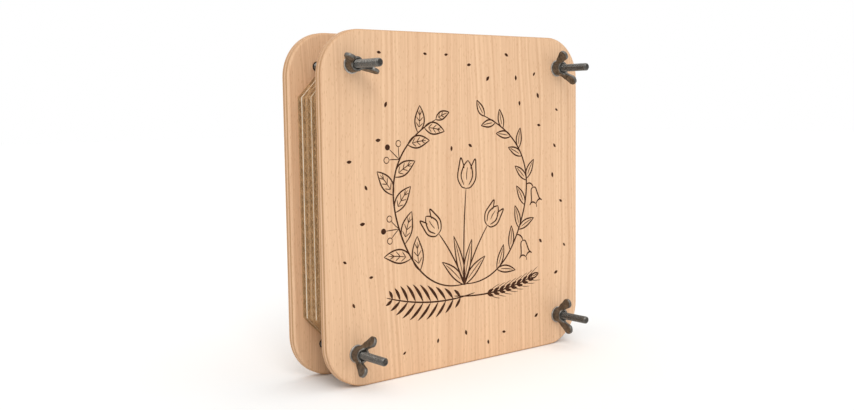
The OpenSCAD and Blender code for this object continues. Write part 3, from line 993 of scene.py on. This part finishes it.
def octagon(half, corner_line):
    """Points round a square with its corners cut off, each side in equal steps."""
    reach = corner_line - half
    corners = np.array([
        [half, -reach], [half, reach], [reach, half], [-reach, half],
        [-half, reach], [-half, -reach], [-reach, -half], [reach, -half],
    ])
    share = np.linspace(0, 1, EDGE_POINTS, endpoint=False)[None, :, None]
    return (corners[:, None] * (1 - share) + np.roll(corners, -1, 0)[:, None] * share).reshape(-1, 2)


def blotter(index, material):
    """A sheet from five outlines in a row, which are drawn in towards both faces to round its edge."""
    low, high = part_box(f"blotter_{index}")
    half = (high.x - low.x) / 2
    thickness = high.y - low.y
    outline = octagon(half - PAPER_INSET, CORNER_LINE - PAPER_INSET * math.sqrt(2))
    outline += paper_draw.uniform(-PAPER_SHIFT, PAPER_SHIFT, 2)
    outline += paper_draw.normal(0, PAPER_FRAY, outline.shape)
    across = outline / np.linalg.norm(outline, axis=1, keepdims=True)
    rings = np.stack([
        at_depth(outline - across * drawn_in * thickness, y)
        for drawn_in, y in zip(PAPER_ROUND_SHARES, np.linspace(high.y, low.y, len(PAPER_ROUND_SHARES)))
    ])
    rings[..., 2] += MIDDLE_Z
    piece = mesh_piece(f"blotter_{index}_paper", *closed_rings(rings), material, smooth_below=30)
    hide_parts(f"blotter_{index}")
    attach(piece, f"blotter_{index}")


blotting_white = blotting_paper("soft_white_blotting_paper")
for i in range(PAPERS):
    blotter(i + 1, blotting_white)

# Washers
# Four flat washers, stamped from steel sheet with rounded rims and plated with zinc. One lies loose on
# each bolt, between the front plate and the nut, and spreads the nut's push over the wood.
WASHER_AROUND = 64
WASHER_R = 4.5 * MM
WASHER_BORE_R = 2.15 * MM
WASHER_ROUND = 0.16 * MM

washer_zinc = zinc_skin("bright_zinc_plated_washer", "#C8C5C0", "#ADAAA5", roughness=0.42, grit=0.30 * MM)


def washer(corner, centre):
    """A section with four rounded corners, turned about the bolt's axis."""
    low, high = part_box(f"washer_{corner}")
    inner, outer = WASHER_BORE_R + WASHER_ROUND, WASHER_R - WASHER_ROUND
    back, front = high.y - WASHER_ROUND, low.y + WASHER_ROUND
    section = np.concatenate([
        np.stack([r + WASHER_ROUND * np.cos(turn), y + WASHER_ROUND * np.sin(turn)], -1)
        for r, y, turn in zip(
            (outer, inner, inner, outer),
            (back, back, front, front),
            np.linspace(0, math.pi / 2, 5) + np.arange(4)[:, None] * math.pi / 2,
        )
    ])
    angle = np.linspace(0, 2 * math.pi, WASHER_AROUND + 1)[:, None]
    rings = np.stack([
        centre[0] + section[:, 0] * np.cos(angle),
        np.broadcast_to(section[:, 1], (WASHER_AROUND + 1, len(section))),
        centre[1] + MIDDLE_Z + section[:, 0] * np.sin(angle),
    ], -1)
    faces = shell_faces(WASHER_AROUND + 1, len(section)) % (WASHER_AROUND * len(section))
    piece = mesh_piece(f"washer_{corner}_steel", rings[:-1].reshape(-1, 3), [faces], washer_zinc)
    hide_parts(f"washer_{corner}")
    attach(piece, "front_half")


for corner, centre in zip(CORNERS, BOLT_PLACES):
    washer(corner, centre)

# Wing nuts
# Four cast wing nuts, darkened. Their round lobes bend up and out from a tapered hub for two fingers to
# turn. The mould leaves every inner corner filled, so the wings run into the hub without an edge.
NUT_BASE_R = 4.0 * MM
NUT_TOP_R = 3.5 * MM
NUT_H = 4.6 * MM
NUT_BORE_R = 2.06 * MM
NUT_BORE_CHAMFER = 0.4 * MM
WING_REACH = 10.0 * MM
WING_TOP = 10.5 * MM
LOBE_R = 2.7 * MM
ROOT_R = 1.84 * MM
WAIST_R = 1.82 * MM
WAIST_SHARE = 0.38
WAIST_BLEND = 0.5 * MM
ROOT_T = 2.3 * MM
LOBE_T = 1.7 * MM
WING_ROUND = 0.45 * MM
HUB_ROUND = 0.35 * MM
FILLET = 1.3 * MM
DISH = 0.16 * MM
DISH_RIM = 0.7 * MM
DISH_SLOPE = 0.5 * MM
VOXEL = 0.16 * MM
# How far each nut's wings are turned from level at rest, in degrees
NUT_ANGLES = {"upper_left": -25, "upper_right": -62, "lower_right": -86, "lower_left": 67}


def blend_union(a, b, size):
    """The distance to two solids joined by a fillet: the smaller distance, lowered where they are alike."""
    share = np.clip(0.5 + 0.5 * (b - a) / size, 0, 1)
    return b * (1 - share) + a * share - size * share * (1 - share)


def round_meet(a, b, radius):
    """The distance to where two solids overlap, with the edge between them rounded."""
    outside = np.hypot(np.maximum(a + radius, 0), np.maximum(b + radius, 0))
    return np.minimum(np.maximum(a, b) + radius, 0) + outside - radius


def tapered_bar(u, w, start, end, start_r, end_r):
    """The distance in a plane to a bar with round ends of two sizes, whose radius grows evenly along it."""
    step = np.subtract(end, start)
    share = np.clip(((u - start[0]) * step[0] + (w - start[1]) * step[1]) / (step @ step), 0, 1)
    from_line = np.hypot(u - start[0] - share * step[0], w - start[1] - share * step[1])
    return from_line - start_r - share * (end_r - start_r)


def wing_nut_shape():
    """A nut with its base on w = 0 and its wings along u, as a grid of distances turned into quads."""
    margin = 3 * VOXEL
    axes = [np.arange(-reach, reach, VOXEL) for reach in (WING_REACH + margin, NUT_BASE_R + 2 * margin)]
    axes.append(np.arange(-margin, WING_TOP + margin, VOXEL))
    u, v, w = np.meshgrid(*axes, indexing="ij", sparse=True)
    side = np.abs(u)
    radial = np.hypot(u, v)
    cone = radial - NUT_BASE_R + (NUT_BASE_R - NUT_TOP_R) * w / NUT_H
    hub = round_meet(cone, np.abs(w - NUT_H / 2) - NUT_H / 2, HUB_ROUND)
    root = (NUT_TOP_R - ROOT_R / 2, NUT_H / 2)
    lobe = (WING_REACH - LOBE_R, WING_TOP - LOBE_R)
    waist = ((root[0] + lobe[0]) / 2, NUT_H / 2 + (lobe[1] - NUT_H / 2) * WAIST_SHARE)
    outline = blend_union(
        tapered_bar(side, w, root, waist, ROOT_R, WAIST_R),
        tapered_bar(side, w, waist, lobe, WAIST_R, LOBE_R),
        WAIST_BLEND,
    )
    # The outer half of each wing is dished on both faces, inside a rim, for a finger and a thumb
    out_share = np.clip((side - root[0]) / (lobe[0] - root[0]), 0, 1)
    dish = DISH * np.clip((-outline - DISH_RIM) / DISH_SLOPE, 0, 1) * np.clip(out_share * 2 - 1, 0, 1)
    thickness = ROOT_T + (LOBE_T - ROOT_T) * out_share - 2 * dish
    wings = round_meet(outline, np.abs(v) - thickness / 2, WING_ROUND)
    solid = np.maximum(blend_union(hub, wings, FILLET), -w)
    from_mouth = np.maximum(np.minimum(w, NUT_H - w), 0)
    mouth = NUT_BORE_R + np.maximum(NUT_BORE_CHAMFER - from_mouth, 0)
    solid = np.maximum(solid, mouth - radial)
    grid = openvdb.FloatGrid()
    grid.copyFromArray(np.ascontiguousarray(solid / VOXEL, np.float32))
    points, quads = grid.convertToQuads(0.0)
    return points * VOXEL + [axis[0] for axis in axes], quads


nut_zinc = zinc_skin("darkened_cast_zinc", "#7A7772", "#57544F", roughness=0.38, grit=0.35 * MM)
nut_points, nut_quads = wing_nut_shape()
u, v, w = nut_points.T
for corner, centre in zip(CORNERS, BOLT_PLACES):
    turn = math.radians(NUT_ANGLES[corner])
    placed = np.stack([
        centre[0] + u * math.cos(turn) - v * math.sin(turn),
        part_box(f"wing_nut_{corner}")[1].y - w,
        centre[1] + MIDDLE_Z + u * math.sin(turn) + v * math.cos(turn),
    ], -1)
    piece = mesh_piece(f"wing_nut_{corner}_cast", placed, [nut_quads], nut_zinc, smooth_below=70)
    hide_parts(f"wing_nut_{corner}")
    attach(piece, f"wing_nut_{corner}")
